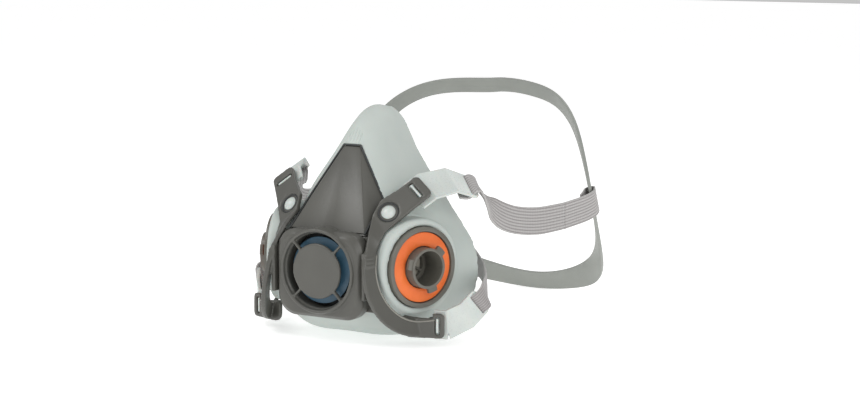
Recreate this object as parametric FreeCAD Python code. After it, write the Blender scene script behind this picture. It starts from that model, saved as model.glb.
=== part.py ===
"""Half-mask respirator with two bayonet filter ports, an exhalation valve and a head harness.

Millimetres. Modelled in the facepiece frame: X across the face (the wearer's right side is -X),
-Y forwards, +Z up, with the mask symmetric about X = 0. At export every solid is tilted and moved
so that the respirator stands on the surface z = 0, with the origin in the middle of its footprint.
"""
import FreeCAD, Part
import math
import os

V = FreeCAD.Vector
Placement = FreeCAD.Placement
Rotation = FreeCAD.Rotation

# ---- driving dimensions -------------------------------------------------------------------
REST_TILT_DEG = 2.57                   # the chin and the cradle's low band rest on the surface
BENCH_SHIFT = V(0.0, -89.060, 40.999)   # then moves so that the footprint's middle is the origin

# facepiece: half outlines (x, z) from the nose down to the chin, on planes of constant y
SEAL_SECTIONS = [
    (-23.5, [(0, 24), (8, 23.8), (14, 23), (20, 19.5), (24.5, 10), (26, 0), (23.5, -17), (14, -26.5), (0, -28)]),
    (-12.0, [(0, 43), (6, 42), (12, 38.5), (24, 28), (31, 16), (35, 2), (36, -22), (24, -33), (0, -36)]),
    (0.0, [(0, 65), (5.5, 63), (12, 56.5), (27, 38), (36, 20), (42, 4), (44, -25), (31, -36.8), (0, -38.8)]),
    (14.0, [(0, 79), (7, 75), (14.5, 63), (28.5, 43), (41, 24), (50, 4), (50.5, -25), (34, -38.3), (0, -40.2)]),
    (28.0, [(0, 81.7), (8, 75.5), (15, 63), (29.5, 43), (45, 23), (56.5, 4), (54.5, -25), (35, -40), (0, -42)]),
    (46.0, [(0, 79.5), (8, 73), (14.5, 61.5), (28, 42.5), (46.5, 23), (60, 4), (57, -25), (36, -41), (0, -43)]),
]
FACE_OPENING = [(0, 64), (6, 58), (22, 36), (43, 6), (40, -13), (25, -26), (0, -30)]
WALL_SIDE = 2.0                        # inset of the cavity outline
WALL_FRONT = 3.4                       # how far the cavity starts behind the outer skin
RIM_AT_EYE_LEVEL = 32.2                # y of the rim plane at z = 0
RIM_LEAN_DEG = 7.0
FLANGE_T = 2.2

# filter ports
PORT_CENTRE = V(47.0, -7.0, 1.3)       # centre of the gasket face
PORT_YAW_DEG = 68.9                    # outward axis, turned from straight ahead
BOSS_R = 25.8
BOSS_DEPTH = 20.0
BOSS_FACE = -1.2                       # boss face, along the port axis from the gasket face
BOSS_EDGE = 2.2                        # rounding of the boss face
BEZEL_R = 21.5
TUBE_R = 10.75                         # bayonet tube, outer
TUBE_BORE_R = 9.3
TUBE_RIM = 5.6
TUBE_END = -11.0
LUG_ANGLES_DEG = (45.0, 165.0, 285.0)
GASKET_R = 18.6
GASKET_T = 2.3
FLAP_R = 10.4

# exhalation valve and its cover
VALVE_Z = -0.5
SEAT_R = 17.0
COVER_HALF_W = 26.6
COVER_TOP = 20.5
COVER_BOTTOM = -26.0
COVER_BACK = -26.3
COVER_EDGE = -33.0
COVER_FRONT = -37.4
COVER_OPENING_R = 20.8
COVER_DISC_R = 14.75

# nose plate corners, right side
PLATE_TOP = V(5.0, -1.1, 61.8)
PLATE_CORNER = V(21.9, -6.2, 35.8)
PLATE_BOTTOM = V(22.8, -25.8, 19.9)
PLATE_T = 1.7
PLATE_GROOVE = 1.1

# yoke
YOKE_T = 2.4
YOKE_LEAN = 0.212                      # how the ring leans inwards with height
YOKE_DEPTH = -3.8
RING_R = 32.6
RING_SHIFT = (-3.1, -4.1)
RING_INNER_R = 26.2
RING_INNER_SHIFT = (-0.7, -2.1)
BOSS_GAP = 0.6
COVER_GAP = 0.45                       # room round the valve cover
STUD = V(31.0, -14.7, 30.2)
ARM_DIR = V(0.57, 0.58, 0.58)
ARM_NORMAL = V(0.245, -0.795, 0.554)
ARM_T = 2.6
ARM_END = 24.3
ARM_EDGES = [(ARM_END, 6.9, -7.2), (12.9, 6.7, -7.3), (1.0, 8.2, -7.8), (-7.6, 4.0, -8.5)]   # x, both edges
SLOT_AT = 18.3
SLOT_W = 2.6
SLOT_L = 10.6
LOWER_ROOT = V(46.9, -11.2, -29.0)
LOWER_DIR = V(0.953, 0.302, 0.0)
LOWER_NORMAL = V(0.302, -0.953, 0.0)
LOWER_HALF_W = 6.6
LOWER_END = 14.2
LOWER_SLOT_AT = 10.4

# harness
BUCKLE_T = 1.8
FOOT_GAP = 1.2                         # room for the buckles to rock in their slots
UPPER_TAB = [(V(0.41, 0.90, 0.13), 16.0), (V(0.42, 0.84, -0.34), 15.5)]    # directions and lengths of its bends
UPPER_TAB_W = 18.5
LOWER_TAB = [(V(0.56, 0.75, 0.36), 12.0), (V(0.38, 0.66, 0.65), 12.5)]
LOWER_TAB_W = 15.5
ELASTIC_T = 1.3
CRADLE_R = 88.0                        # the cradle is bent round a cylinder of this radius
CRADLE_T = 1.8
CRADLE_TOP = V(0, 161.6, 81.0)
CRADLE_LOW = V(0, 212.0, -41.0)
HARNESS_PIVOT = V(0, 27.0, 40.5)       # line through the upper buckles' far ends
HARNESS_LIFT_DEG = -0.19                # turns the harness until the low band rests on the surface


# ---- small helpers ------------------------------------------------------------------------
def frame(origin, x_axis, z_axis):
    """Placement whose local X and Z run along the two directions."""
    z_dir = V(z_axis).normalize()
    x_dir = V(x_axis).normalize()
    x_dir = (x_dir - z_dir * x_dir.dot(z_dir)).normalize()
    return Placement(origin, Rotation(x_dir, z_dir.cross(x_dir), z_dir, "ZXY"))


def placed(shape, placement):
    moved = shape.copy()
    moved.Placement = placement.multiply(moved.Placement)
    return moved


def box(low, high):
    size = V(*high) - V(*low)
    return Part.makeBox(size.x, size.y, size.z, V(*low))


def disc(radius, low, high, centre=(0, 0)):
    return Part.makeCylinder(radius, high - low, V(centre[0], centre[1], low))


def tube(outer, inner, low, high):
    return disc(outer, low, high).cut(disc(inner, low - 1, high + 1))


def fused(shapes):
    whole = shapes[0]
    for shape in shapes[1:]:
        whole = whole.fuse(shape)
    return whole.removeSplitter()


def mirrored(shape):
    return shape.mirror(V(0, 0, 0), V(1, 0, 0))


def closed_curve(points):
    curve = Part.BSplineCurve()
    curve.interpolate(points, PeriodicFlag=True)
    return Part.Wire(curve.toShape())


def both_halves(half):
    """Full loop of (x, z) points from the half outline on +X."""
    left = [(-x, z) for x, z in reversed(half) if x > 0]
    return list(half) + left


def inset(half, distance):
    """The half outline moved inwards along its own normals."""
    loop = both_halves(half)
    moved = []
    for i in range(len(half)):
        before = loop[i - 1]
        after = loop[(i + 1) % len(loop)]
        dx = after[0] - before[0]
        dz = after[1] - before[1]
        length = math.hypot(dx, dz)
        moved.append((half[i][0] + distance * dz / length, half[i][1] - distance * dx / length))
    return moved


def section_loft(sections):
    wires = []
    for y, half in sections:
        wires.append(closed_curve([V(x, y, z) for x, z in both_halves(half)]))
    return Part.makeLoft(wires, True, False)


def ribbon(stations, width, thickness):
    """A strap through stations of (centre, direction across the strap, outward direction)."""
    wires = []
    for centre, across, out in stations:
        a = V(*across).normalize() * (width / 2)
        o = V(*out).normalize() * (thickness / 2)
        c = V(*centre)
        corners = [c - a - o, c + a - o, c + a + o, c - a + o]
        wires.append(Part.makePolygon(corners + corners[:1]))
    return Part.makeLoft(wires, True, True)


# ---- local frames -------------------------------------------------------------------------
yaw = math.radians(PORT_YAW_DEG)
PORT_AXIS = V(math.sin(yaw), -math.cos(yaw), 0)
PORT_BACK = V(math.cos(yaw), math.sin(yaw), 0)
PORT = frame(PORT_CENTRE, PORT_BACK, PORT_AXIS)
RING_UP = V(0, 0, 1) - PORT_AXIS * YOKE_LEAN
RING_NORMAL = PORT_BACK.cross(RING_UP)
RING = frame(PORT_CENTRE + PORT_AXIS * YOKE_DEPTH, PORT_BACK, RING_NORMAL)
ARM = frame(STUD, ARM_DIR, ARM_NORMAL)
LOWER_ARM = frame(LOWER_ROOT, LOWER_DIR, LOWER_NORMAL)
VALVE = frame(V(0, 0, VALVE_Z), V(1, 0, 0), V(0, -1, 0))   # local z = -y


# ---- facepiece ----------------------------------------------------------------------------
def front_of_rim(offset):
    """Everything in front of the rim plane, moved forwards by offset."""
    block = box((-90, -120, -90), (90, 0, 120))
    turn = Rotation(V(1, 0, 0), -RIM_LEAN_DEG)
    return placed(block, Placement(V(0, RIM_AT_EYE_LEVEL - offset, 0), turn))


def nose_plate_body(extra, thickness, lift=0.0):
    """Three flat facets with a common inward direction; extra widens the outline."""
    inward = V(0, 0.854, -0.52)
    middle = V(0, -10.6, 40.0)

    def corner(point, side):
        p = V(side * point.x, point.y, point.z)
        out = (p - middle).normalize() * extra
        return p + out - inward * lift

    top_l = corner(PLATE_TOP, -1)
    top_r = corner(PLATE_TOP, 1)
    low_l = corner(PLATE_BOTTOM, -1)
    low_r = corner(PLATE_BOTTOM, 1)
    far_l = corner(PLATE_CORNER, -1)
    far_r = corner(PLATE_CORNER, 1)
    bodies = []
    for facet in ([top_l, top_r, low_r, low_l], [top_r, far_r, low_r], [top_l, low_l, far_l]):
        face = Part.Face(Part.makePolygon(facet + facet[:1]))
        bodies.append(face.extrude(inward * thickness))
    return fused(bodies)


def make_nose_plate():
    """The facets on a thin border that lines the floor of the groove round them."""
    border = nose_plate_body(PLATE_GROOVE + 0.4, 0.7, 0.7 - PLATE_T)
    plate = fused([nose_plate_body(0.0, PLATE_T), border])
    return plate.cut(placed(disc(20.8, 20, 27), VALVE))


def make_face_seal(fitted):
    """The shell, with room cut for the rigid pieces that it is fitted round."""
    outer = section_loft(SEAL_SECTIONS)
    hollow = section_loft([(y + WALL_FRONT, inset(half, WALL_SIDE)) for y, half in SEAL_SECTIONS])
    hollow = hollow.common(front_of_rim(FLANGE_T))
    opening = section_loft([(20.0, FACE_OPENING), (60.0, FACE_OPENING)])
    boss = disc(BOSS_R, -BOSS_DEPTH, BOSS_FACE)
    boss = placed(boss.makeFillet(BOSS_EDGE, [boss.Edges[0]]), PORT)
    stud_pad = placed(disc(5.5, -12.0, -1.7), ARM)
    body = fused([outer.common(front_of_rim(0.0)), boss, mirrored(boss), stud_pad, mirrored(stud_pad)])
    body = body.cut(box((-29.8, -60, -32), (29.8, -23.5, 21.5)))
    boss_room = placed(disc(BOSS_R - 3.2, -BOSS_DEPTH - 4, -8.3), PORT)
    boss_room = boss_room.common(box((0, -20.1, -60), (90, 90, 90)))
    recess = placed(disc(BEZEL_R + 0.2, -5.4, 5.0), PORT)
    neck = placed(disc(TUBE_R + 0.1, -12.0, 2.0), PORT)
    for tool in (hollow, opening, boss_room, mirrored(boss_room), recess, mirrored(recess), neck, mirrored(neck)):
        body = body.cut(tool)
    body = body.cut(placed(disc(SEAT_R + 0.1, 15, 40), VALVE))
    body = body.cut(nose_plate_body(PLATE_GROOVE, PLATE_T + 20.0, 20.0))
    for piece in fitted:
        body = body.cut(piece)
    return largest(body)


def largest(shape):
    return max(shape.Solids, key=lambda solid: solid.Volume)


# ---- ports --------------------------------------------------------------------------------
def make_port_housing():
    body = [
        tube(BEZEL_R, TUBE_BORE_R, -5.4, -GASKET_T),
        tube(BEZEL_R, GASKET_R + 0.5, -GASKET_T, 0.8),
        tube(TUBE_R, TUBE_BORE_R, TUBE_END, TUBE_RIM),
        tube(20.0, TUBE_BORE_R, -10.3, -8.4),
    ]
    for angle in LUG_ANGLES_DEG:
        lug = tube(TUBE_R + 2.6, TUBE_R - 0.5, 3.4, 5.2).common(box((0, -2.8, 3), (20, 2.8, 6)))
        lug.rotate(V(0, 0, 0), V(0, 0, 1), angle)
        body.append(lug)
    return placed(fused(body), PORT)


def make_port_gasket():
    return placed(tube(GASKET_R, TUBE_R + 0.5, -GASKET_T, 0.0), PORT)


def make_inhalation_seat():
    body = [tube(TUBE_BORE_R, 7.3, -10.8, -8.8), disc(1.2, -15.2, -8.8), disc(2.3, -15.2, -14.2)]
    for i in range(3):
        spoke = box((0, -0.6, -10.6), (7.6, 0.6, -9.0))
        spoke.rotate(V(0, 0, 0), V(0, 0, 1), 90 + 120 * i)
        body.append(spoke)
    return placed(fused(body), PORT)


def make_inhalation_flap():
    return placed(tube(FLAP_R, 1.45, -12.0, -11.3), PORT)


# ---- exhalation valve ---------------------------------------------------------------------
def make_exhalation_seat():
    body = [
        tube(SEAT_R, 14.5, 19.0, 31.0),
        tube(20.6, 14.6, 23.5, 25.4),
        tube(19.0, 14.6, 18.0, 19.9),
        disc(2.6, 28.3, 30.4),
    ]
    for i in range(3):
        spoke = box((1.0, -0.8, 28.4), (15.0, 0.8, 30.2))
        spoke.rotate(V(0, 0, 0), V(0, 0, 1), 30 + 120 * i)
        body.append(spoke)
    return placed(fused(body).cut(disc(1.35, 27, 32)), VALVE)


def make_diaphragm():
    body = [disc(17.8, 31.3, 32.0), disc(1.25, 25.6, 31.5), disc(1.9, 25.0, 26.0)]
    return placed(fused(body), VALVE)


def squircle(y, grow):
    """Rounded square wire of the cover, in the plane of constant y."""
    w = COVER_HALF_W + grow
    top = COVER_TOP + grow
    low = COVER_BOTTOM - grow
    r = 11.0
    k = r * (1 - math.sqrt(0.5))
    edges = []
    corners = [(w, top, -1, -1), (w, low, -1, 1), (-w, low, 1, 1), (-w, top, 1, -1)]
    stops = []
    for x, z, sx, sz in corners:
        along_side = V(x, y, z + sz * r)
        along_end = V(x + sx * r, y, z)
        middle = V(x + sx * k, y, z + sz * k)
        stops.append((along_side, middle, along_end))
    order = [stops[0][::-1], stops[1], stops[2][::-1], stops[3]]
    for i in range(4):
        start, middle, end = order[i]
        edges.append(Part.Arc(start, middle, end).toShape())
        edges.append(Part.LineSegment(end, order[(i + 1) % 4][0]).toShape())
    return Part.Wire(edges)


def make_valve_cover():
    skirt = Part.Face(squircle(COVER_BACK, 0)).extrude(V(0, COVER_EDGE - COVER_BACK, 0))
    crown = Part.makeLoft([squircle(COVER_EDGE, 0), squircle(COVER_EDGE - 2.6, -2.2)], True, True)
    lip = placed(disc(22.6, -COVER_BACK, -COVER_FRONT), VALVE)
    room = Part.Face(squircle(COVER_BACK + 1, -1.8)).extrude(V(0, COVER_EDGE - COVER_BACK, 0))
    wall = placed(tube(22.6, COVER_OPENING_R - 1.0, -COVER_BACK + 1.5, -COVER_FRONT), VALVE)
    body = fused([skirt, crown, lip]).cut(room).fuse(wall)
    body = body.cut(placed(disc(COVER_OPENING_R - 1.0, 20, 45), VALVE))
    body = body.cut(placed(disc(COVER_OPENING_R, 35.0, 45), VALVE))
    grille = [disc(COVER_DISC_R, 35.2, 37.2)]
    for i in range(4):
        spoke = box((COVER_DISC_R - 0.5, -0.65, 34.0), (COVER_OPENING_R + 0.5, 0.65, 36.8))
        spoke.rotate(V(0, 0, 0), V(0, 0, 1), 45 + 90 * i)
        grille.append(spoke)
    return body.fuse(placed(fused(grille), VALVE)).removeSplitter()


# ---- yoke ---------------------------------------------------------------------------------
def slotted(plate, at, length):
    return plate.cut(box((at - SLOT_W / 2, -length / 2, -5), (at + SLOT_W / 2, length / 2, 5)))


def strip(stations, thickness):
    """A sheet through stations of (one edge, other edge, outward direction)."""
    wires = []
    for edge_a, edge_b, out in stations:
        o = V(out).normalize() * (thickness / 2)
        corners = [edge_a - o, edge_b - o, edge_b + o, edge_a + o]
        wires.append(Part.makePolygon(corners + corners[:1]))
    return Part.makeLoft(wires, True, True)


def rounded_end(slab, x, radius):
    """The slab with the corners of its end at x rounded."""
    edges = []
    for edge in slab.Edges:
        a, b = edge.Vertexes[0].Point, edge.Vertexes[-1].Point
        if abs(a.x - x) < 0.01 and abs(b.x - x) < 0.01 and abs(a.y - b.y) < 0.01:
            edges.append(edge)
    return slab.makeFillet(radius, edges)


def make_yoke_side():
    ring = disc(RING_R, -YOKE_T, 0, RING_SHIFT).cut(disc(RING_INNER_R, -9, 9, RING_INNER_SHIFT))
    ring = ring.cut(box((-60, 8.5, -9), (60, 60, 9))).cut(box((7, -60, -9), (60, 60, 9)))
    for height in (3.4, 5.4, 7.4):
        ring = ring.fuse(box((-34.0, height - 0.4, -0.5), (-27.6, height + 0.4, 0.5)))
    ring = placed(ring, RING)
    out = ARM.Rotation.multVec(V(0, 0, 1))
    stations = [(ARM.multVec(V(x, a, 0)), ARM.multVec(V(x, b, 0)), out) for x, a, b in ARM_EDGES]
    middle = (out + RING_NORMAL) * 0.5
    stations.append((V(26.3, -27.0, 20.9), V(32.0, -25.6, 15.0), middle))
    for x_a, x_b, y in ((-32.5, -25.4, 9.6), (-33.6, -26.0, 3.0)):
        stations.append((RING.multVec(V(x_a, y, -YOKE_T / 2)), RING.multVec(V(x_b, y, -YOKE_T / 2)), RING_NORMAL))
    arm = strip(stations[3:], YOKE_T)
    plate = strip(stations[:4], ARM_T).copy()
    plate = placed(plate, ARM.inverse())
    plate = rounded_end(slotted(plate, SLOT_AT, SLOT_L), ARM_END, 2.6)
    arm = fused([placed(plate, ARM), arm])
    stud_room = fused([disc(6.0, 0.1, 6), disc(3.0, -5, 6)])
    lower = box((-9, -LOWER_HALF_W, -YOKE_T / 2), (LOWER_END, LOWER_HALF_W, YOKE_T / 2))
    lower = rounded_end(slotted(lower, LOWER_SLOT_AT, 9.4), LOWER_END, 2.4)
    lower = rounded_end(lower, -9, 5.0)
    web = box((27.1, -36.0, -14), (29.4, -24.0, 11))
    side = fused([ring, arm, placed(lower, LOWER_ARM), web])
    return side.cut(placed(stud_room, ARM)).cut(placed(disc(BOSS_R + BOSS_GAP, -30, 8), PORT))


def make_yoke(fitted):
    side = make_yoke_side()
    frame_plate = box((-29.4, -25.9, -22), (29.4, -23.6, 18))
    body = fused([frame_plate, side, mirrored(side)])
    body = body.cut(placed(disc(20.9, 20, 27), VALVE))
    body = body.cut(Part.Face(squircle(-26.1, COVER_GAP)).extrude(V(0, -30, 0)))
    for piece in fitted:
        body = body.cut(piece)
    return largest(body)


def make_stud():
    ball = Part.makeSphere(5.1, V(0, 0, -2.9)).common(disc(4.0, 0.3, 3.0))
    return placed(fused([disc(2.7, -1.7, 0.5), ball]), ARM)


# ---- harness ------------------------------------------------------------------------------
def buckle(arm_frame, slot_at, reach, half_t, lug_l, width, bends):
    """A bent tab behind the yoke arm, with a lug through its slot and a strap slot at the far end."""
    under = -half_t - FOOT_GAP
    foot = box((slot_at - 2.4, -width / 2, under - BUCKLE_T), (slot_at + reach + 0.4, width / 2, under))
    lug = box((slot_at - 0.7, -lug_l / 2, under - 0.5), (slot_at + 0.7, lug_l / 2, half_t - 0.5))
    arm_across = arm_frame.Rotation.multVec(V(0, 1, 0))
    point = arm_frame.multVec(V(slot_at + reach, 0, under - BUCKLE_T / 2))
    before = arm_frame.Rotation.multVec(V(1, 0, 0))
    stations = []
    for direction, length in bends + [(bends[-1][0], 0.0)]:
        along = (before + V(direction).normalize()).normalize()
        across = (arm_across - along * arm_across.dot(along)).normalize() * (width / 2)
        stations.append((point - across, point + across, along.cross(across)))
        before = V(direction).normalize()
        last = point
        point = point + before * length
    end = frame(last, before, before.cross(arm_across))
    room = box((-5.0, 1.6 - width / 2, -5), (-2.6, width / 2 - 1.6, 5))
    for side in (-1, 1):
        y = side * (width / 2 - 3.0)
        corner = box((-3.0, min(y, 2 * y), -5), (5.0, max(y, 2 * y), 5))
        room = room.fuse(corner.cut(disc(3.0, -6, 6, (-3.0, y))))
    tab = strip(stations, BUCKLE_T).cut(placed(room, end))
    return fused([placed(fused([foot, lug]), arm_frame), tab])


def lifted(shape):
    """Turned about the buckles' far ends by the harness lift."""
    turn = Rotation(V(1, 0, 0), HARNESS_LIFT_DEG)
    return placed(shape, Placement(V(0, 0, 0), turn, HARNESS_PIVOT))


def cradle_frame():
    up = (CRADLE_TOP - CRADLE_LOW).normalize()
    back = V(1, 0, 0).cross(up) * -1
    middle = (CRADLE_TOP + CRADLE_LOW) * 0.5
    return frame(middle - back * CRADLE_R, V(-1, 0, 0), back)


# unrolled half outlines of the cradle: (distance round the cylinder, height)
CRADLE_OUTER = [(0, 73), (30, 73.5), (56, 71), (76, 62), (90, 42), (97, 20), (92, -8), (80, -32), (58, -54),
                (30, -69), (0, -75)]
CRADLE_INNER = [(0, 64), (30, 64.5), (52, 62.5), (68, 55), (79, 40), (85, 20), (81, -4), (70, -22), (51, -41),
                (28, -56), (0, -63.5)]


def unrolled(half):
    """Loop of points on the flat sheet, seen along the cradle's middle normal."""
    loop = []
    for s, h in both_halves(half):
        loop.append(V(CRADLE_R * math.sin(s / CRADLE_R), h, 0))
    return loop


def make_cradle():
    shell = Part.makeCylinder(CRADLE_R, 200, V(0, -100, 0), V(0, 1, 0))
    shell = shell.cut(Part.makeCylinder(CRADLE_R - CRADLE_T, 200, V(0, -100, 0), V(0, 1, 0)))
    outer = Part.Face(closed_curve(unrolled(CRADLE_OUTER))).extrude(V(0, 0, 100))
    inner = Part.Face(closed_curve(unrolled(CRADLE_INNER))).extrude(V(0, 0, 100))
    band = shell.common(outer).cut(inner)
    slot_x = CRADLE_R * math.sin(90.5 / CRADLE_R)
    slot = box((slot_x - 0.9, 10, 0), (slot_x + 0.9, 30, 100))
    band = band.cut(slot).cut(mirrored(slot))
    return lifted(placed(band, cradle_frame()))


CROWN_STATIONS = [
    ((65, 41, 26), (0.25, 0.35, -0.9), (0.9, -0.1, 0.2)),
    ((70, 54, 19.5), (0.15, 0.1, -0.98), (0.95, -0.25, 0.1)),
    ((75, 72, 17.5), (0.1, 0, -1), (0.98, -0.15, 0.1)),
    ((79, 95, 17.5), (0, 0.1, -1), (1, -0.05, 0)),
    ((79.5, 112, 18.1), (0, 0.2, -0.98), (1, 0.03, 0)),
    ((79.3, 126, 19.2), (0, 0.33, -0.94), (1, 0.1, 0)),
]
NECK_WIDTH = 12.0
NECK_STATIONS = [
    ((69.4, 17.6, -14.5), (-0.2, -0.3, 0.93), (0.85, 0.5, 0.1)),
    ((67.2, 24, -13.8), (0, -0.2, 1), (0.85, 0.5, 0.1)),
    ((63.2, 33, -12.3), (0, -0.1, 1), (0.8, 0.6, 0)),
    ((53.0, 47, -8), (0, -0.1, 1), (0.7, 0.7, 0)),
    ((35, 62, -2), (0, 0, 1), (0.4, 0.9, 0)),
    ((14.5, 69.4, 0), (0, 0, 1), (0.1, 1, 0)),
]
CLIP_Y = 70.0


def make_clip_eye():
    plate = box((1.0, CLIP_Y - 1.1, -9.5), (17.5, CLIP_Y + 1.1, 9.5))
    plate = plate.cut(box((3.4, CLIP_Y - 5, -5), (6.2, CLIP_Y + 5, 5)))
    return plate.cut(box((13.0, CLIP_Y - 1.7, -8.0), (20, CLIP_Y + 0.9, 8.0)))


def make_clip_hook():
    plate = box((-17.5, CLIP_Y - 1.1, -9.5), (-1.0, CLIP_Y + 1.1, 9.5))
    plate = plate.cut(box((-20, CLIP_Y - 1.7, -8.0), (-13.0, CLIP_Y + 0.9, 8.0)))
    reach = box((-6, CLIP_Y + 1.1, -4), (5.6, CLIP_Y + 2.7, 4))
    finger = box((4.0, CLIP_Y - 1.0, -4), (5.6, CLIP_Y + 2.7, 4))
    return fused([plate, reach, finger])


# ---- build and export ---------------------------------------------------------------------
def build_parts():
    plate = make_nose_plate()
    stud = make_stud()
    housing = make_port_housing()
    yoke = make_yoke([plate])
    parts = {
        "face_seal": make_face_seal([yoke, plate, housing, mirrored(housing)]),
        "nose_plate": plate,
        "harness_yoke": yoke,
        "exhalation_valve_seat": make_exhalation_seat(),
        "exhalation_diaphragm": make_diaphragm(),
        "valve_cover": make_valve_cover(),
        "crown_cradle": make_cradle(),
        "neck_clip_eye": make_clip_eye(),
        "neck_clip_hook": make_clip_hook(),
    }
    paired = {
        "port_housing": housing,
        "port_gasket": make_port_gasket(),
        "inhalation_valve_seat": make_inhalation_seat(),
        "inhalation_flap": make_inhalation_flap(),
        "yoke_stud": stud,
        "upper_buckle": buckle(ARM, SLOT_AT, 6.6, ARM_T / 2, 9.2, UPPER_TAB_W, UPPER_TAB),
        "lower_buckle": buckle(LOWER_ARM, LOWER_SLOT_AT, 4.6, YOKE_T / 2, 8.0, LOWER_TAB_W, LOWER_TAB),
        "crown_elastic": lifted(ribbon(CROWN_STATIONS, 15.0, ELASTIC_T)),
        "neck_strap": ribbon(NECK_STATIONS, NECK_WIDTH, ELASTIC_T),
    }
    for name, shape in paired.items():
        parts["right_" + name] = shape
        parts["left_" + name] = mirrored(shape)
    return parts


def export(parts):
    os.makedirs("parts", exist_ok=True)
    whole = FreeCAD.BoundBox()
    bench = Placement(BENCH_SHIFT, Rotation(V(1, 0, 0), REST_TILT_DEG))
    for name in sorted(parts):
        shape = placed(parts[name], bench)
        whole.add(shape.BoundBox)
        shape.exportStep("parts/" + name + ".step")
        print(f"{name:30s} solids {len(shape.Solids)} valid {shape.isValid()} volume {shape.Volume:9.1f}")
    print("bounds", whole)


export(build_parts())
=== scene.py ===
# %% [markdown]
# # A half-mask respirator, finished in Blender
#
# The engineering model arrives as a fixed frame: every casing, valve, buckle and joint already has its
# size and place. This lesson gives each piece its real surface. The soft facepiece is rounded off, the
# straps are woven, and every moulding gets a grain. Everything is in metres, in the frame's own axes.

# %% Load the frame
import math
import bpy
from mathutils import Matrix, Vector


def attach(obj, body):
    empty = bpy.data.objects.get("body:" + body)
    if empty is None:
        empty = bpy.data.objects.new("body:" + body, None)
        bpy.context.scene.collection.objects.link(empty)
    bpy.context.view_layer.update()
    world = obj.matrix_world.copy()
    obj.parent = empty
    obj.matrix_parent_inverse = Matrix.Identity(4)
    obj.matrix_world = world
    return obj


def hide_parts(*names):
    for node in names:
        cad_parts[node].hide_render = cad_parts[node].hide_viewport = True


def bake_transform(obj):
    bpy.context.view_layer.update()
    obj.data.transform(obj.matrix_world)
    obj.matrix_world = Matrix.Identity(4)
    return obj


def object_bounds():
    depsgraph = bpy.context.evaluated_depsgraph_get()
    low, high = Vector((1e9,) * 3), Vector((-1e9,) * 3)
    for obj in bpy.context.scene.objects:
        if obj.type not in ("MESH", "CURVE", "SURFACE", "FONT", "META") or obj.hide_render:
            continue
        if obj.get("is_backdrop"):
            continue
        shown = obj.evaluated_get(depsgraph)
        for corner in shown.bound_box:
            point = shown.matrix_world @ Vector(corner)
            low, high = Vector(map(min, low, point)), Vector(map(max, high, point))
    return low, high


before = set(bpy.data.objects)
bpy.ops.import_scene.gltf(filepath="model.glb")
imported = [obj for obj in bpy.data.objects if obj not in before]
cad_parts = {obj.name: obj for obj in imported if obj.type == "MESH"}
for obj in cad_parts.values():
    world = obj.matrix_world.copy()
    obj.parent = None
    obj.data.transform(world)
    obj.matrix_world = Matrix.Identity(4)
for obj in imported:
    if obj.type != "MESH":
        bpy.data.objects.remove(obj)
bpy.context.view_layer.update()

# %% [markdown]
# The facepiece leans a little on its chin, because the head cradle lies on the same surface. Its
# own axes are easier to think in, so one helper turns a point in millimetres in the facepiece's axes
# into a place in the frame.

# %% Facepiece axes
FACE_TILT = math.radians(2.57)
FACE_ORIGIN = Vector((0.0, -0.089060, 0.040999))
FACE_TURN = Matrix.Rotation(FACE_TILT, 3, "X")
MM = 0.001


def place(x, y, z):
    """A point in the facepiece's axes, in millimetres, as a place in the frame."""
    return FACE_TURN @ (Vector((x, y, z)) * MM) + FACE_ORIGIN


def aim(x, y, z):
    """A direction in the facepiece's axes, turned into the frame's."""
    return (FACE_TURN @ Vector((x, y, z))).normalized()


print("port centre", [round(v, 4) for v in place(47, -7, 1.3)])

# %% [markdown]
# ## Camera
#
# A small product is shown through a long lens from about a metre away, a third of a turn to one side
# and only a little above the table, so that the front valve and one port both face the viewer.

# %% Camera
CAMERA_AZIMUTH = math.radians(30.3)
CAMERA_ELEVATION = math.radians(8.5)
CAMERA_DISTANCE = 1100
CAMERA_LENS = 85.2
CAMERA_AIM = Vector((33.3, 24.5, 29.3))

towards = Vector((math.sin(CAMERA_AZIMUTH) * math.cos(CAMERA_ELEVATION),
                  -math.cos(CAMERA_AZIMUTH) * math.cos(CAMERA_ELEVATION), math.sin(CAMERA_ELEVATION)))
right = Vector((math.cos(CAMERA_AZIMUTH), math.sin(CAMERA_AZIMUTH), 0))
bpy.ops.object.select_all(action="DESELECT")
bpy.ops.object.camera_add(location=place(*(CAMERA_AIM + towards * CAMERA_DISTANCE)))
camera = bpy.context.object
camera.data.lens = CAMERA_LENS
camera.data.clip_end = 30
camera.rotation_mode = "QUATERNION"
view = Matrix((right, towards.cross(right), towards)).transposed()
camera.rotation_quaternion = (FACE_TURN @ view).to_quaternion()
bpy.context.scene.camera = camera
print("camera at", [round(v, 3) for v in camera.location])

# %% [markdown]
# ## Floor and light
#
# The studio is a pale floor under large soft lamps. A wide key lamp from the upper left models the
# facets, a fill from the right opens the port, and the world itself is white so that glossy edges have
# something bright to reflect. The floor is wide enough that its far edge stays out of sight.

# %% Studio
FLOOR_SIZE = 60

bpy.ops.object.select_all(action="DESELECT")
bpy.ops.mesh.primitive_plane_add(size=FLOOR_SIZE, location=(0, FLOOR_SIZE / 3, 0))
floor = bpy.context.object
floor.name = "studio_floor"
floor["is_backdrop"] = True


def lamp(name, location, target, size, power):
    """A square soft box that looks at target."""
    bpy.ops.object.light_add(type="AREA", location=location)
    light = bpy.context.object
    light.name = name
    light.data.shape = "SQUARE"
    light.data.size = size
    light.data.energy = power
    light.rotation_mode = "QUATERNION"
    light.rotation_quaternion = (Vector(location) - Vector(target)).to_track_quat("Z", "Y")
    return light


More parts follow.
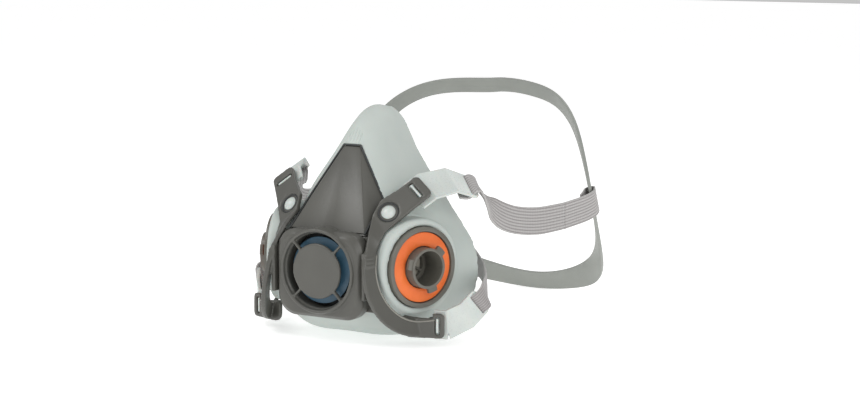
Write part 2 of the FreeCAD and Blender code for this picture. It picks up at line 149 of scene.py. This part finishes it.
lamp("key", (-0.75, -1.0, 1.2), (0, -0.06, 0.05), 0.8, 9)
lamp("fill", (1.3, -0.9, 0.7), (0, -0.06, 0.05), 1.1, 8)
lamp("rim", (0.2, 1.1, 1.3), (0, 0.05, 0.05), 0.9, 4)
world = bpy.data.worlds.new("studio")
world.use_nodes = True
world.node_tree.nodes["Background"].inputs["Color"].default_value = (1.0, 1.0, 1.0, 1)
world.node_tree.nodes["Background"].inputs["Strength"].default_value = 0.55
bpy.context.scene.world = world
bpy.context.scene.view_settings.view_transform = "Standard"

# %% [markdown]
# ## Shared surface effects
#
# Moulded plastic is never one flat colour. Three effects come back in several finishes, so each is a
# node group: a fine moulding grain, a soft mottling from handling, and the woven ribs of elastic.
# A group has named sockets, and each material sets its own values.


# %% Node helpers
def group(name, inputs, outputs):
    """An empty shader group with named sockets; returns the tree, its input and its output node."""
    tree = bpy.data.node_groups.new(name, "ShaderNodeTree")
    for label, kind, value in inputs:
        socket = tree.interface.new_socket(name=label, in_out="INPUT", socket_type=kind)
        socket.default_value = value
    for label, kind in outputs:
        tree.interface.new_socket(name=label, in_out="OUTPUT", socket_type=kind)
    return tree, tree.nodes.new("NodeGroupInput"), tree.nodes.new("NodeGroupOutput")


def node(tree, kind, links=(), **settings):
    """A node with its settings, and links of (input, socket that feeds it)."""
    made = tree.nodes.new(kind)
    for key, value in settings.items():
        if key in made.bl_rna.properties and key != "inputs":
            setattr(made, key, value)
        else:
            made.inputs[key.replace("_", " ")].default_value = value
    for key, source in links:
        tree.links.new(source, made.inputs[key])
    return made


# %% Moulding grain
def make_grain():
    """Fine spark-eroded texture: a colour factor, a roughness offset and a height."""
    tree, given, result = group(
        "moulding_grain",
        [("Scale", "NodeSocketFloat", 900.0), ("Mottle Scale", "NodeSocketFloat", 35.0),
         ("Color", "NodeSocketColor", (0.5, 0.5, 0.5, 1)), ("Shade", "NodeSocketColor", (0.4, 0.4, 0.4, 1)),
         ("Roughness Low", "NodeSocketFloat", 0.4), ("Roughness High", "NodeSocketFloat", 0.55)],
        [("Color", "NodeSocketColor"), ("Roughness", "NodeSocketFloat"), ("Height", "NodeSocketFloat")])
    place_node = node(tree, "ShaderNodeTexCoord")
    fine = node(tree, "ShaderNodeTexNoise",
                [("Vector", place_node.outputs["Object"]), ("Scale", given.outputs["Scale"])],
                Detail=3.0, Roughness=0.6)
    broad = node(tree, "ShaderNodeTexNoise",
                 [("Vector", place_node.outputs["Object"]), ("Scale", given.outputs["Mottle Scale"])],
                 Detail=4.0, Roughness=0.55)
    spread = node(tree, "ShaderNodeMapRange", [("Value", broad.outputs["Fac"])],
                  **{"From_Min": 0.35, "From_Max": 0.65})
    blend = node(tree, "ShaderNodeMix", data_type="RGBA")
    tree.links.new(spread.outputs["Result"], blend.inputs["Factor"])
    tree.links.new(given.outputs["Color"], blend.inputs[6])
    tree.links.new(given.outputs["Shade"], blend.inputs[7])
    rough = node(tree, "ShaderNodeMapRange",
                 [("Value", fine.outputs["Fac"]), ("To Min", given.outputs["Roughness Low"]),
                  ("To Max", given.outputs["Roughness High"])], **{"From_Min": 0.3, "From_Max": 0.7})
    tree.links.new(blend.outputs[2], result.inputs["Color"])
    tree.links.new(rough.outputs["Result"], result.inputs["Roughness"])
    tree.links.new(fine.outputs["Fac"], result.inputs["Height"])
    return tree


GRAIN = make_grain()
print("group", GRAIN.name, [s.name for s in GRAIN.interface.items_tree])


# %% Woven ribs
def make_weave():
    """Lengthwise ribs with short cross stitches, from the strap's own UV map; the grooves between ribs get a darker
    painted shade.
    """
    tree, given, result = group(
        "elastic_weave",
        [("Ribs", "NodeSocketFloat", 8.0), ("Stitches", "NodeSocketFloat", 120.0),
         ("Color", "NodeSocketColor", (0.6, 0.6, 0.6, 1)), ("Painted Groove Shade", "NodeSocketColor", (0.3, 0.3, 0.3, 1))],
        [("Color", "NodeSocketColor"), ("Height", "NodeSocketFloat")])
    place_node = node(tree, "ShaderNodeTexCoord")
    parts = node(tree, "ShaderNodeSeparateXYZ", [("Vector", place_node.outputs["UV"])])
    rib_turn = node(tree, "ShaderNodeMath", [(0, parts.outputs["Y"]), (1, given.outputs["Ribs"])],
                    operation="MULTIPLY")
    rib_angle = node(tree, "ShaderNodeMath", [(0, rib_turn.outputs[0])], operation="MULTIPLY")
    rib_angle.inputs[1].default_value = math.tau
    rib = node(tree, "ShaderNodeMath", [(0, rib_angle.outputs[0])], operation="COSINE")
    stitch_turn = node(tree, "ShaderNodeMath", [(0, parts.outputs["X"]), (1, given.outputs["Stitches"])],
                       operation="MULTIPLY")
    stitch_angle = node(tree, "ShaderNodeMath", [(0, stitch_turn.outputs[0])], operation="MULTIPLY")
    stitch_angle.inputs[1].default_value = math.tau
    stitch = node(tree, "ShaderNodeMath", [(0, stitch_angle.outputs[0])], operation="SINE")
    fine = node(tree, "ShaderNodeMath", [(0, stitch.outputs[0])], operation="MULTIPLY")
    fine.inputs[1].default_value = 0.14
    both = node(tree, "ShaderNodeMath", [(0, rib.outputs[0]), (1, fine.outputs[0])], operation="ADD")
    height = node(tree, "ShaderNodeMapRange", [("Value", both.outputs[0])], **{"From_Min": -1.14, "From_Max": 1.14})
    # Low rib height takes the darker groove colour: painted shade in the recesses between ribs.
    blend = node(tree, "ShaderNodeMix", data_type="RGBA")
    tree.links.new(height.outputs["Result"], blend.inputs["Factor"])
    tree.links.new(given.outputs["Painted Groove Shade"], blend.inputs[6])
    tree.links.new(given.outputs["Color"], blend.inputs[7])
    tree.links.new(blend.outputs[2], result.inputs["Color"])
    tree.links.new(height.outputs["Result"], result.inputs["Height"])
    return tree


WEAVE = make_weave()
print("group", WEAVE.name)

# %% [markdown]
# ## Finishes
#
# The dark mouldings are a warm grey nylon with a satin skin. The facepiece is a thermoplastic
# elastomer, lighter and softer, with a little light passing under its surface. Each finish is a
# Principled shader fed by the grain group, with a bump no deeper than the real texture.


# %% Moulded finishes
def moulded(name, color, shade, rough, grain=900.0, bump=0.00002, mottle=35.0, **surface):
    """A moulded plastic or rubber finish on Object coordinates."""
    material = bpy.data.materials.new(name)
    material.use_nodes = True
    tree = material.node_tree
    shader = tree.nodes["Principled BSDF"]
    grained = node(tree, "ShaderNodeGroup", node_tree=GRAIN)
    values = {"Scale": grain, "Mottle Scale": mottle, "Color": (*color, 1), "Shade": (*shade, 1),
              "Roughness Low": rough[0], "Roughness High": rough[1]}
    for key, value in values.items():
        grained.inputs[key].default_value = value
    bumped = node(tree, "ShaderNodeBump", [("Height", grained.outputs["Height"])], Distance=bump)
    tree.links.new(grained.outputs["Color"], shader.inputs["Base Color"])
    tree.links.new(grained.outputs["Roughness"], shader.inputs["Roughness"])
    tree.links.new(bumped.outputs["Normal"], shader.inputs["Normal"])
    for key, value in surface.items():
        shader.inputs[key.replace("_", " ")].default_value = value
    return material


ELASTOMER = moulded("seal_elastomer", (0.50, 0.545, 0.515), (0.45, 0.495, 0.47), (0.5, 0.62), 1400, 0.00001, 22,
                    Subsurface_Weight=0.05, Subsurface_Scale=0.003)
DARK = moulded("dark_moulding", (0.088, 0.087, 0.076), (0.076, 0.075, 0.066), (0.3, 0.44), 1300, 0.000018, 40)
# Near-black: the exhalation valve seat's own colour, and painted shadow on the cords in the nose-plate gap and round
# the studs.
BLACK_AND_PAINTED_SHADE = moulded("black_and_painted_shade", (0.035, 0.038, 0.038), (0.03, 0.032, 0.032), (0.5, 0.6), 1300, 0.00001, 40)
# Lighter than the yoke's dark moulding: a painted highlight on the raised bead inside each port ring.
BEAD_HIGHLIGHT = moulded("bead_painted_highlight", (0.26, 0.255, 0.225), (0.22, 0.215, 0.19), (0.3, 0.42), 1300, 0.00001, 40)
PORT_GREY = moulded("port_moulding", (0.13, 0.124, 0.104), (0.11, 0.105, 0.088), (0.3, 0.44), 1300, 0.000015, 40)
GASKET = moulded("gasket_silicone", (0.84, 0.18, 0.035), (0.76, 0.145, 0.025), (0.45, 0.6), 1500, 0.00001, 60,
                 Subsurface_Weight=0.1, Subsurface_Scale=0.002)
DIAPHRAGM = moulded("diaphragm_silicone", (0.045, 0.115, 0.175), (0.035, 0.09, 0.14), (0.3, 0.42), 1500, 0.00001, 50)
FLAP = moulded("flap_silicone", (0.42, 0.40, 0.34), (0.36, 0.34, 0.29), (0.35, 0.5), 1500, 0.00001, 50)
PALE = moulded("pale_moulding", (0.58, 0.62, 0.59), (0.53, 0.57, 0.545), (0.24, 0.36), 1100, 0.000008, 45,
               Subsurface_Weight=0.08, Subsurface_Scale=0.003)
BAND = moulded("cradle_band", (0.285, 0.297, 0.272), (0.25, 0.262, 0.24), (0.42, 0.56), 1200, 0.00002, 28)
FLOOR = moulded("floor_paint", (0.9, 0.9, 0.9), (0.89, 0.89, 0.89), (0.6, 0.7), 60, 0.00001, 2,
                Emission_Color=(1, 1, 1, 1), Emission_Strength=0.5)
floor.data.materials.append(FLOOR)
print("finishes", len(bpy.data.materials))


# %% Woven finish
def woven(name, color, groove_shade, ribs, stitches):
    """A ribbed elastic finish on the strap's own UV map, with painted shade darkening the grooves between ribs."""
    material = bpy.data.materials.new(name)
    material.use_nodes = True
    tree = material.node_tree
    shader = tree.nodes["Principled BSDF"]
    weave = node(tree, "ShaderNodeGroup", node_tree=WEAVE)
    for key, value in {"Ribs": ribs, "Stitches": stitches, "Color": (*color, 1), "Painted Groove Shade": (*groove_shade, 1)}.items():
        weave.inputs[key].default_value = value
    bumped = node(tree, "ShaderNodeBump", [("Height", weave.outputs["Height"])], Distance=0.00025, Strength=0.6)
    tree.links.new(weave.outputs["Color"], shader.inputs["Base Color"])
    tree.links.new(bumped.outputs["Normal"], shader.inputs["Normal"])
    shader.inputs["Roughness"].default_value = 0.8
    shader.inputs["Sheen Weight"].default_value = 0.25
    return material


# The second, darker colour is painted shade for the grooves between the ribs.
ELASTIC = woven("ribbed_elastic", (0.44, 0.43, 0.42), (0.24, 0.22, 0.22), 9, 90)
print("woven", ELASTIC.name)

# %% [markdown]
# ## Carried-over mouldings
#
# Many small pieces already have the right shape. What they lack is the rounded edge that every mould
# leaves. The frame's meshes stay as they are, and modifiers on top weld the triangles, dissolve the
# flat ones into whole faces and bevel what is left of the sharp edges.


# %% Round the moulded edges
def rounded(name, material, width, segments=2, angle=28.0):
    """Rounded edges and a finish on a node of the frame."""
    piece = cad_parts[name]
    weld = piece.modifiers.new("weld", "WELD")
    weld.merge_threshold = 0.000005
    flat = piece.modifiers.new("flat", "DECIMATE")
    flat.decimate_type = "DISSOLVE"
    flat.angle_limit = math.radians(2.0)
    if width:
        bevel = piece.modifiers.new("edge", "BEVEL")
        bevel.width = width
        bevel.segments = segments
        bevel.limit_method = "ANGLE"
        bevel.angle_limit = math.radians(angle)
        bevel.harden_normals = True
    piece.data.materials.clear()
    piece.data.materials.append(material)
    for face in piece.data.polygons:
        face.use_smooth = True
    return piece


for node_name, finish, edge in [
        ("nose_plate", DARK, 0.0005), ("exhalation_valve_seat", BLACK_AND_PAINTED_SHADE, 0.0002),
        ("exhalation_diaphragm", DIAPHRAGM, 0.00015),
        ("neck_clip_eye", PALE, 0.0004), ("neck_clip_hook", PALE, 0.0004),
        ("crown_cradle", BAND, 0.0005)]:
    rounded(node_name, finish, edge)
for side in ("left", "right"):
    for node_name, finish, edge in [
            ("port_housing", PORT_GREY, 0.0003), ("inhalation_valve_seat", PORT_GREY, 0.00015),
            ("inhalation_flap", FLAP, 0.0001), ("port_gasket", GASKET, 0.0003), ("yoke_stud", PALE, 0.0002)]:
        rounded(side + "_" + node_name, finish, edge)
print("rounded", sum(1 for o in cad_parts.values() if o.modifiers))

# %% [markdown]
# ## Soft facepiece
#
# The facepiece is one elastomer moulding: a thin shell with a flange turned inwards against the face.
# No edge on it is sharp, because it has to leave its mould and touch skin. A copy of the frame's shell
# is welded, rebuilt as an even skin and relaxed, so that every corner melts into a soft fillet.


# %% Relaxed copies
def relaxed(name, source, voxel, rounds, material, body):
    """A new piece: the frame's shape as an even skin with soft corners."""
    bpy.ops.object.select_all(action="DESELECT")
    piece = bpy.data.objects.new(name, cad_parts[source].data.copy())
    bpy.context.scene.collection.objects.link(piece)
    bpy.context.view_layer.objects.active = piece
    piece.select_set(True)
    piece.data.materials.clear()
    bpy.ops.object.mode_set(mode="EDIT")
    bpy.ops.mesh.select_all(action="SELECT")
    bpy.ops.mesh.remove_doubles(threshold=0.000005)
    bpy.ops.object.mode_set(mode="OBJECT")
    skin = piece.modifiers.new("skin", "REMESH")
    skin.mode = "VOXEL"
    skin.voxel_size = voxel
    skin.use_smooth_shade = True
    bpy.ops.object.modifier_apply(modifier="skin")
    soft = piece.modifiers.new("soft", "SMOOTH")
    soft.factor = 0.5
    soft.iterations = rounds
    bpy.ops.object.modifier_apply(modifier="soft")
    piece.data.materials.append(material)
    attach(piece, body)
    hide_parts(source)
    print(name, len(piece.data.polygons), "faces")
    return piece


face_seal = relaxed("soft_facepiece", "face_seal", 0.00078, 4, ELASTOMER, "facepiece")

# %% [markdown]
# Above the plate the nose carries five fine moulded ribs. Each is a slim lens half sunk in the skin, and
# a ray cast from the front finds where the skin is.


# %% Nose ribs
def skin_point(x, z):
    """The point of the facepiece's skin straight in front of (x, z), in the facepiece's axes."""
    start = place(x, -80, z)
    hit, spot, _, _ = face_seal.ray_cast(start, aim(0, 1, 0))
    return FACE_TURN.inverted() @ (spot - FACE_ORIGIN) / MM if hit else Vector((x, 0, z))


RIB_PITCH = 1.75
RIB_LOW, RIB_HIGH = 64.2, 71.5
RIB_HALF_WIDTH, RIB_STANDING = 0.42, 0.5

ribs = []
for k in range(5):
    step = k - 2
    x = step * RIB_PITCH
    low, high = skin_point(x, RIB_LOW - abs(step) * 0.5), skin_point(x, RIB_HIGH - abs(step) * 1.3)
    bpy.ops.object.select_all(action="DESELECT")
    bpy.ops.mesh.primitive_uv_sphere_add(segments=12, ring_count=16, radius=1)
    rib = bpy.context.object
    bpy.ops.object.shade_smooth()
    middle = (low + high) / 2
    rib.scale = (RIB_HALF_WIDTH * MM, RIB_STANDING * MM, (high - low).length / 2 * MM)
    rib.rotation_mode = "QUATERNION"
    rib.rotation_quaternion = (FACE_TURN @ (high - low)).to_track_quat("Z", "Y")
    rib.location = place(*middle)
    bpy.ops.object.transform_apply(location=True, rotation=True, scale=True)
    rib.data.materials.append(ELASTOMER)
    ribs.append(rib)
for rib in ribs:
    rib.select_set(True)
bpy.ops.object.join()
nose_ribs = bpy.context.object
nose_ribs.name = "nose_ribs"
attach(nose_ribs, "facepiece")
print("nose ribs", len(nose_ribs.data.polygons), "faces")

# %% [markdown]
# ## Yoke, cover and buckles
#
# The yoke is one flexible moulding that carries all four straps. It clips under the valve cover, runs
# round each port as a C and ends in slotted arms. The cover is a soft rounded shell round the valve, and
# the buckles are bent tabs. All get the same treatment with a finer skin, so that their slots stay crisp.

# %% Yoke, cover and buckles
yoke = relaxed("flexible_yoke", "harness_yoke", 0.00055, 3, DARK, "facepiece")
cover = relaxed("valve_cover_shell", "valve_cover", 0.0005, 7, DARK, "cover")
for side in ("left", "right"):
    for level in ("upper", "lower"):
        tab = relaxed(side + "_" + level + "_buckle_tab", side + "_" + level + "_buckle", 0.0003, 9, PALE,
                      level + "_buckles")

# %% [markdown]
# ## Beads and painted shadow lines
#
# Three thin lines finish the front. A near-black cord in the gap round the nose plate is painted shadow over the dark
# plate edge, a near-black ring round each stud is the painted shadow of its countersunk hole, and a fine bead follows
# the inside of each port ring, its lighter colour a painted highlight of the ring's rounded edge.
# Each is a thin round cord laid along the edge: a curve with a bevel, turned into a mesh.


# %% Bead maker
def bead(name, points, radius, material, body, closed=False):
    """A round cord through points in the facepiece's axes."""
    line = bpy.data.curves.new(name, "CURVE")
    line.dimensions = "3D"
    line.bevel_depth = radius * MM
    line.bevel_resolution = 3
    line.use_fill_caps = True
    path = line.splines.new("POLY")
    path.points.add(len(points) - 1)
    for point, spot in zip(path.points, points):
        point.co = (*place(*spot), 1)
    path.use_cyclic_u = closed
    cord = bpy.data.objects.new(name, line)
    bpy.context.scene.collection.objects.link(cord)
    bpy.ops.object.select_all(action="DESELECT")
    cord.select_set(True)
    bpy.context.view_layer.objects.active = cord
    bpy.ops.object.convert(target="MESH")
    cord = bpy.context.object
    bpy.ops.object.shade_smooth()
    cord.data.materials.clear()
    cord.data.materials.append(material)
    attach(cord, body)
    print(name, len(cord.data.polygons), "faces")
    return cord


PLATE_OUTLINE = [(-22.8, -25.8, 19.9), (-21.9, -6.2, 35.8), (-5.0, -1.1, 61.8), (5.0, -1.1, 61.8), (21.9, -6.2, 35.8),
                 (22.8, -25.8, 19.9)]
PLATE_MIDDLE = Vector((0, -10.6, 40.0))
PLATE_INWARD = Vector((0, 0.854, -0.52))
SHADOW_LINE_OUTSIDE, SHADOW_LINE_ABOVE, SHADOW_LINE_RADIUS = 0.9, 0.1, 0.62
# A near-black cord just outside the nose plate's edge: painted shadow of the groove, laid over the real dark plate
# edge.
plate_shadow_line = [Vector(c) + (Vector(c) - PLATE_MIDDLE).normalized() * SHADOW_LINE_OUTSIDE - PLATE_INWARD * SHADOW_LINE_ABOVE
        for c in PLATE_OUTLINE]
bead("plate_groove_painted_shadow", plate_shadow_line, SHADOW_LINE_RADIUS, BLACK_AND_PAINTED_SHADE, "facepiece")

# %% [markdown]
# The yoke is curved, so the beads on it take their places from rays cast onto its skin. Each point is
# set out on a flat circle first, in the port's or the stud's own axes, and then dropped onto the yoke.


# %% Beads on the yoke
RAY_START, RAY_REACH = 30, 36


def on_yoke(point, normal):
    """The yoke's skin under a point, looked at along its normal, or None where there is no yoke."""
    start = place(*(point + normal * RAY_START))
    hit, spot, _, _ = yoke.ray_cast(start, -(FACE_TURN @ normal))
    if not hit or (spot - start).length > RAY_REACH * MM:
        return None
    return FACE_TURN.inverted() @ (spot - FACE_ORIGIN) / MM


PORT_YAW = math.radians(68.9)
PORT_CENTRE = Vector((47.0, -7.0, 1.3))
PORT_OUT = Vector((math.sin(PORT_YAW), -math.cos(PORT_YAW), 0))
PORT_BACK = Vector((math.cos(PORT_YAW), math.sin(PORT_YAW), 0))
YOKE_LEAN = 0.212
RING_NORMAL = PORT_BACK.cross(Vector((0, 0, 1)) - PORT_OUT * YOKE_LEAN).normalized()
RING_UP = RING_NORMAL.cross(PORT_BACK)
RING_MIDDLE = PORT_CENTRE - PORT_OUT * 3.8 - PORT_BACK * 0.7 - RING_UP * 2.1
RING_BEAD_R, RING_BEAD_FROM, RING_BEAD_STEP = 27.1, 148, 3.2
ring_highlight_points = []
for k in range(41):
    turn = math.radians(RING_BEAD_FROM + k * RING_BEAD_STEP)
    spoke = PORT_BACK * math.cos(turn) + RING_UP * math.sin(turn)
    spot = on_yoke(RING_MIDDLE + spoke * RING_BEAD_R, RING_NORMAL)
    if spot:
        ring_highlight_points.append(spot)
STUD = Vector((31.0, -14.7, 30.2))
ARM_NORMAL = Vector((0.245, -0.795, 0.554)).normalized()
ARM_ALONG = Vector((0.57, 0.58, 0.58))
ARM_ALONG = (ARM_ALONG - ARM_NORMAL * ARM_ALONG.dot(ARM_NORMAL)).normalized()
ARM_ACROSS = ARM_NORMAL.cross(ARM_ALONG)
STUD_RING_R, STUD_RING_POINTS = 5.3, 28
stud_ring = []
for k in range(STUD_RING_POINTS):
    turn = k * math.tau / STUD_RING_POINTS
    spoke = ARM_ALONG * math.cos(turn) + ARM_ACROSS * math.sin(turn)
    spot = on_yoke(STUD + spoke * STUD_RING_R, ARM_NORMAL)
    if spot:
        stud_ring.append(spot)
for side, sign in (("right", 1), ("left", -1)):
    # The ring bead's lighter colour is a painted highlight of the rounded ring edge; the stud ring is a painted
    # shadow.
    bead(side + "_ring_bead_painted_highlight", [(x * sign, y, z) for x, y, z in ring_highlight_points],
         0.42, BEAD_HIGHLIGHT, "facepiece")
    bead(side + "_stud_shadow", [(x * sign, y, z) for x, y, z in stud_ring],
         0.5, BLACK_AND_PAINTED_SHADE, "facepiece", closed=True)

# %% [markdown]
# ## Elastic straps
#
# A strap is a flat ribbon with lengthwise ribs. Each is a grid that follows a smooth line through a few
# stations, each with its own direction across the strap, so it can fold over a buckle bar
# and twist on its way back. Solidify gives the cloth its thickness.

# %% Ribbon maker
STRAP_WIDTH = 15.0
STRAP_THICK = 0.0011
RIB_COUNT = 9
RIB_HEIGHT = 0.00012


def between(a, b, c, d, t):
    """A smooth value between b and c, with a and d as the neighbours."""
    return 0.5 * ((2 * b) + (c - a) * t + (2 * a - 5 * b + 4 * c - d) * t * t + (3 * b - a - 3 * c + d) * t ** 3)


def smooth_line(points, steps):
    """Points along a smooth curve through the given ones."""
    line = []
    for i in range(len(points) - 1):
        a = points[max(i - 1, 0)]
        d = points[min(i + 2, len(points) - 1)]
        for k in range(steps):
            line.append(between(a, points[i], points[i + 1], d, k / steps))
    line.append(points[-1].copy())
    return line


def ribbon(name, stations, steps=6, width=STRAP_WIDTH):
    """A ribbed strap through stations of (centre, direction across)."""
    centres = smooth_line([Vector(c) for c, _ in stations], steps)
    across = smooth_line([Vector(a).normalized() for _, a in stations], steps)
    columns = RIB_COUNT * 4 + 1
    bpy.ops.object.select_all(action="DESELECT")
    bpy.ops.mesh.primitive_grid_add(x_subdivisions=len(centres) - 1, y_subdivisions=columns - 1, size=1)
    strap = bpy.context.object
    strap.name = name
    length = 0.0
    for vertex in strap.data.vertices:
        i = round((vertex.co.x + 0.5) * (len(centres) - 1))
        share = vertex.co.y
        ahead = centres[min(i + 1, len(centres) - 1)] - centres[max(i - 1, 0)]
        side = (across[i] - ahead * across[i].dot(ahead) / ahead.length_squared).normalized()
        face = ahead.normalized().cross(side)
        lift = math.cos(share * RIB_COUNT * math.tau) * RIB_HEIGHT / MM
        vertex.co = place(*(centres[i] + side * share * width + face * lift))
    for i in range(len(centres) - 1):
        length += (centres[i + 1] - centres[i]).length * MM
    thick = strap.modifiers.new("cloth", "SOLIDIFY")
    thick.thickness = STRAP_THICK
    thick.offset = 0.0
    bpy.ops.object.modifier_apply(modifier="cloth")
    bpy.ops.object.shade_smooth()
    strap.data.materials.append(ELASTIC)
    print(name, "length", round(length, 4), "m")
    return strap, length


def mirror_stations(stations):
    return [((-c[0], c[1], c[2]), (-a[0], a[1], a[2])) for c, a in stations]


# %% Crown straps
LIFT = math.radians(-0.19)
LIFT_PIVOT = Vector((0, 27, 40.5))


def lifted(stations):
    """The stations, turned with the cradle about the buckles' far ends."""
    turn = Matrix.Rotation(LIFT, 3, "X")
    return [(tuple(turn @ (Vector(c) - LIFT_PIVOT) + LIFT_PIVOT), tuple(turn @ Vector(a))) for c, a in stations]


CROWN_FRONT = [
    ((51.4, 21.4, 39.3), (0.673, -0.54, -0.504)),
    ((54.2, 24.9, 38.9), (0.673, -0.54, -0.504)),
    ((55.9, 26.8, 40.9), (0.673, -0.54, -0.504)),
    ((57.2, 28.3, 42.2), (0.673, -0.54, -0.504)),
    ((58.6, 30.9, 41.2), (0.68, -0.48, -0.55)),
    ((59.8, 32.6, 37.8), (0.68, -0.3, -0.65)),
    ((61.7, 34.8, 33.0), (0.58, 0.0, -0.8)),
    ((64.2, 39.0, 27.6), (0.4, 0.25, -0.87)),
    ((67.2, 46.5, 22.8), (0.25, 0.25, -0.93)),
    ((71.0, 57.0, 19.5), (0.15, 0.1, -0.98)),
    ((75.2, 73.0, 17.6), (0.1, 0.0, -1)),
    ((78.8, 95.0, 17.6), (0.0, 0.1, -1)),
]
CROWN_REAR = [
    ((78.8, 95.0, 17.6), (0.0, 0.1, -1)),
    ((79.9, 118.0, 18.6), (0.0, 0.25, -0.97)),
    ((79.7, 131.0, 19.8), (0.0, 0.36, -0.93)),
    ((78.5, 137.2, 21.0), (0.0, 0.39, -0.92)),
    ((76.8, 140.6, 22.0), (0.0, 0.39, -0.92)),
    ((74.6, 140.2, 22.1), (0.0, 0.39, -0.92)),
    ((73.2, 136.8, 21.2), (0.0, 0.39, -0.92)),
    ((74.9, 130.0, 20.0), (0.0, 0.36, -0.93)),
    ((76.8, 122.0, 19.0), (0.0, 0.3, -0.95)),
]
for side, turned in (("right", lambda s: s), ("left", mirror_stations)):
    strap, length = ribbon(side + "_crown_strap_front", turned(lifted(CROWN_FRONT)))
    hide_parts(side + "_crown_elastic")
    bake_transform(strap)
    strap, length = ribbon(side + "_crown_strap_rear", turned(lifted(CROWN_REAR)))
    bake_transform(strap)

# %% [markdown]
# The neck straps leave the lower buckles, turn in behind the cheeks and meet in a small clip behind the
# wearer's neck. They hang slack here, so they run in one easy curve.

# %% Neck straps
NECK = [
    ((66.2, 8.6, -22.4), (-0.32, -0.56, 0.76)),
    ((68.3, 10.9, -20.8), (-0.32, -0.56, 0.76)),
    ((70.3, 11.1, -19.1), (-0.32, -0.56, 0.76)),
    ((72.2, 11.7, -17.7), (-0.32, -0.56, 0.76)),
    ((73.1, 14.2, -15.7), (-0.28, -0.45, 0.85)),
    ((72.1, 16.9, -14.8), (-0.2, -0.35, 0.92)),
    ((70.0, 20.2, -14.3), (-0.1, -0.25, 0.96)),
    ((67.1, 25.5, -13.6), (0, -0.2, 1)),
    ((63.3, 33.0, -12.3), (0, -0.1, 1)),
    ((53.1, 47.0, -8.0), (0, -0.1, 1)),
    ((35.0, 62.0, -2.0), (0, 0, 1)),
    ((18.0, 69.0, 0.0), (0, 0, 1)),
    ((14.6, 69.8, 0.0), (0, 0, 1)),
]
NECK_WIDTH = 12.0
for side, turned in (("right", lambda s: s), ("left", mirror_stations)):
    strap, length = ribbon(side + "_neck_strap_cloth", turned(NECK), width=NECK_WIDTH)
    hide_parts(side + "_neck_strap")
    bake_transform(strap)

# %% Finish
low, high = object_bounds()
print("visual box", [round(v, 4) for v in (*low, *high)])
